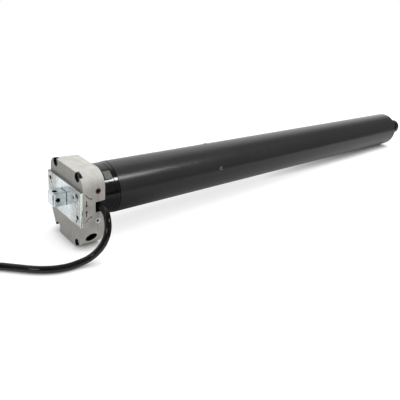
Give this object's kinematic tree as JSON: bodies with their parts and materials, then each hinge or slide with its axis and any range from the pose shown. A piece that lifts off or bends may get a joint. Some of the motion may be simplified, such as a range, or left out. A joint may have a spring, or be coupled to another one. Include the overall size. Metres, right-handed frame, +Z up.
{
  "type": "tubular roller blind motor",
  "caption": "Black tubular roller blind motor with a cast head, crank hole, limit adjusters, square mounting stub, crown ring, output shaft and lead.",
  "frame": {"origin": "on the tube's axis, in the front face of the mounting plate, where the square stub leaves it", "axes": "+X along the tube towards the output shaft, +Z up, the limit adjusters face -Y"},
  "size_m": [0.9526, 0.1137, 0.0953],
  "materials": {
    "zinc": "bright zinc plated",
    "steel": "turned",
    "cast_alloy": "satin die-cast",
    "red_plastic": "moulded red",
    "white_plastic": "moulded white",
    "black_plastic": "moulded black",
    "dark_plastic": "moulded dark",
    "bronze": "sintered bronze",
    "lead_sheath": "smooth black sheath",
    "copper": "bare copper",
    "black_tube": "satin black paint",
    "capacitor_shell": "moulded",
    "friction": "pressed friction lining",
    "laminations": "stacked sheet steel"
  },
  "bodies": {
    "head": {"mounting_plate": "zinc", "square_stub": "zinc", "plate_screws": "steel", "head_cover": "cast_alloy", "head_housing": "cast_alloy", "head_screws": "steel", "crank_bush": "dark_plastic", "worm_bushes": "bronze", "cable_gland": "dark_plastic", "power_cable": "lead_sheath", "cable_coil": "lead_sheath", "cable_tie": "dark_plastic", "cable_cores": "copper", "crown_hub": "black_plastic", "hub_screws": "steel", "limit_switches": "dark_plastic"},
    "tube": {"worm_wheel": "bronze", "drive_sleeve": "steel", "front_plug": "dark_plastic", "motor_tube": "black_tube", "tube_screws": "steel", "capacitor": "capacitor_shell", "capacitor_cradle": "dark_plastic", "brake_pot": "steel", "brake_coil": "copper", "front_bell": "cast_alloy", "rear_bell": "cast_alloy", "motor_bearings": "steel", "stator_core": "laminations", "stator_windings": "copper", "ring_gear": "steel", "output_housing": "cast_alloy", "output_bushes": "bronze", "end_cap": "dark_plastic"},
    "crank": {"crank_worm": "steel"},
    "crown": {"crown_ring": "black_plastic"},
    "limit": {"limit_pinion": "white_plastic", "cam_up": "red_plastic", "cam_down": "white_plastic"},
    "red": {"red_adjuster": "red_plastic"},
    "white": {"white_adjuster": "white_plastic"},
    "armature": {"brake_armature": "steel"},
    "rotor": {"motor_shaft": "steel", "rotor_core": "laminations", "brake_disc": "friction"},
    "stage_1": {"carrier_1": "steel"},
    "stage_2": {"carrier_2": "steel"},
    "output": {"carrier_3": "steel", "output_shaft": "steel", "output_clip": "steel"},
    "gear_1a": {"planet_1a": "bronze"},
    "gear_1b": {"planet_1b": "bronze"},
    "gear_1c": {"planet_1c": "bronze"},
    "gear_2a": {"planet_2a": "bronze"},
    "gear_2b": {"planet_2b": "bronze"},
    "gear_2c": {"planet_2c": "bronze"},
    "gear_3a": {"planet_3a": "bronze"},
    "gear_3b": {"planet_3b": "bronze"},
    "gear_3c": {"planet_3c": "bronze"}
  },
  "joints": [
    {"name": "tube_turn", "type": "hinge", "parent": "head", "child": "tube", "pos_m": [0.0532, 0, 0], "axis": [1, 0, 0], "continuous": true},
    {"name": "crank_turn", "type": "hinge", "parent": "head", "child": "crank", "pos_m": [0.015, 0.00892, -0.01678], "axis": [0, -0.8829, -0.4695], "continuous": true},
    {"name": "crown_turn", "type": "hinge", "parent": "head", "child": "crown", "pos_m": [0.0305, 0, 0], "axis": [1, 0, 0], "continuous": true},
    {"name": "limit_turn", "type": "hinge", "parent": "head", "child": "limit", "pos_m": [0.03, 0, 0.01755], "axis": [1, 0, 0], "continuous": true},
    {"name": "red_adjust", "type": "hinge", "parent": "head", "child": "red", "pos_m": [0.0215, -0.0355, 0.015], "axis": [0, -1, 0], "continuous": true},
    {"name": "white_adjust", "type": "hinge", "parent": "head", "child": "white", "pos_m": [0.0215, -0.0355, -0.0195], "axis": [0, -1, 0], "continuous": true},
    {"name": "brake_release", "type": "slide", "parent": "tube", "child": "armature", "axis": [-1, 0, 0], "range_m": [0, 0.0004], "stiffness_N_per_m": 2000},
    {"name": "rotor_spin", "type": "hinge", "parent": "tube", "child": "rotor", "pos_m": [0.2, 0, 0], "axis": [1, 0, 0], "continuous": true},
    {"name": "stage_1_turn", "type": "hinge", "parent": "tube", "child": "stage_1", "pos_m": [0.42, 0, 0], "axis": [1, 0, 0], "continuous": true},
    {"name": "stage_2_turn", "type": "hinge", "parent": "tube", "child": "stage_2", "pos_m": [0.44, 0, 0], "axis": [1, 0, 0], "continuous": true},
    {"name": "output_turn", "type": "hinge", "parent": "tube", "child": "output", "pos_m": [0.6, 0, 0], "axis": [1, 0, 0], "continuous": true},
    {"name": "gear_1a_spin", "type": "hinge", "parent": "stage_1", "child": "gear_1a", "pos_m": [0.42, 0, -0.015], "axis": [1, 0, 0], "continuous": true},
    {"name": "gear_1b_spin", "type": "hinge", "parent": "stage_1", "child": "gear_1b", "pos_m": [0.42, 0.01299, 0.0075], "axis": [1, 0, 0], "continuous": true},
    {"name": "gear_1c_spin", "type": "hinge", "parent": "stage_1", "child": "gear_1c", "pos_m": [0.42, -0.01299, 0.0075], "axis": [1, 0, 0], "continuous": true},
    {"name": "gear_2a_spin", "type": "hinge", "parent": "stage_2", "child": "gear_2a", "pos_m": [0.42, 0, -0.015], "axis": [1, 0, 0], "continuous": true},
    {"name": "gear_2b_spin", "type": "hinge", "parent": "stage_2", "child": "gear_2b", "pos_m": [0.42, 0.01299, 0.0075], "axis": [1, 0, 0], "continuous": true},
    {"name": "gear_2c_spin", "type": "hinge", "parent": "stage_2", "child": "gear_2c", "pos_m": [0.42, -0.01299, 0.0075], "axis": [1, 0, 0], "continuous": true},
    {"name": "gear_3a_spin", "type": "hinge", "parent": "output", "child": "gear_3a", "pos_m": [0.42, 0, -0.015], "axis": [1, 0, 0], "continuous": true},
    {"name": "gear_3b_spin", "type": "hinge", "parent": "output", "child": "gear_3b", "pos_m": [0.42, 0.01299, 0.0075], "axis": [1, 0, 0], "continuous": true},
    {"name": "gear_3c_spin", "type": "hinge", "parent": "output", "child": "gear_3c", "pos_m": [0.42, -0.01299, 0.0075], "axis": [1, 0, 0], "continuous": true}
  ],
  "couplings": [
    {"joint": "crank_turn", "follows": "tube_turn", "ratio": 28},
    {"joint": "limit_turn", "follows": "crown_turn", "ratio": 4},
    {"joint": "stage_1_turn", "follows": "rotor_spin", "ratio": 0.2},
    {"joint": "stage_2_turn", "follows": "rotor_spin", "ratio": 0.04},
    {"joint": "output_turn", "follows": "rotor_spin", "ratio": 0.008},
    {"joint": "gear_1a_spin", "follows": "rotor_spin", "ratio": -0.53333},
    {"joint": "gear_1b_spin", "follows": "rotor_spin", "ratio": -0.53333},
    {"joint": "gear_1c_spin", "follows": "rotor_spin", "ratio": -0.53333},
    {"joint": "gear_2a_spin", "follows": "rotor_spin", "ratio": -0.10667},
    {"joint": "gear_2b_spin", "follows": "rotor_spin", "ratio": -0.10667},
    {"joint": "gear_2c_spin", "follows": "rotor_spin", "ratio": -0.10667},
    {"joint": "gear_3a_spin", "follows": "rotor_spin", "ratio": -0.021333},
    {"joint": "gear_3b_spin", "follows": "rotor_spin", "ratio": -0.021333},
    {"joint": "gear_3c_spin", "follows": "rotor_spin", "ratio": -0.021333}
  ]
}
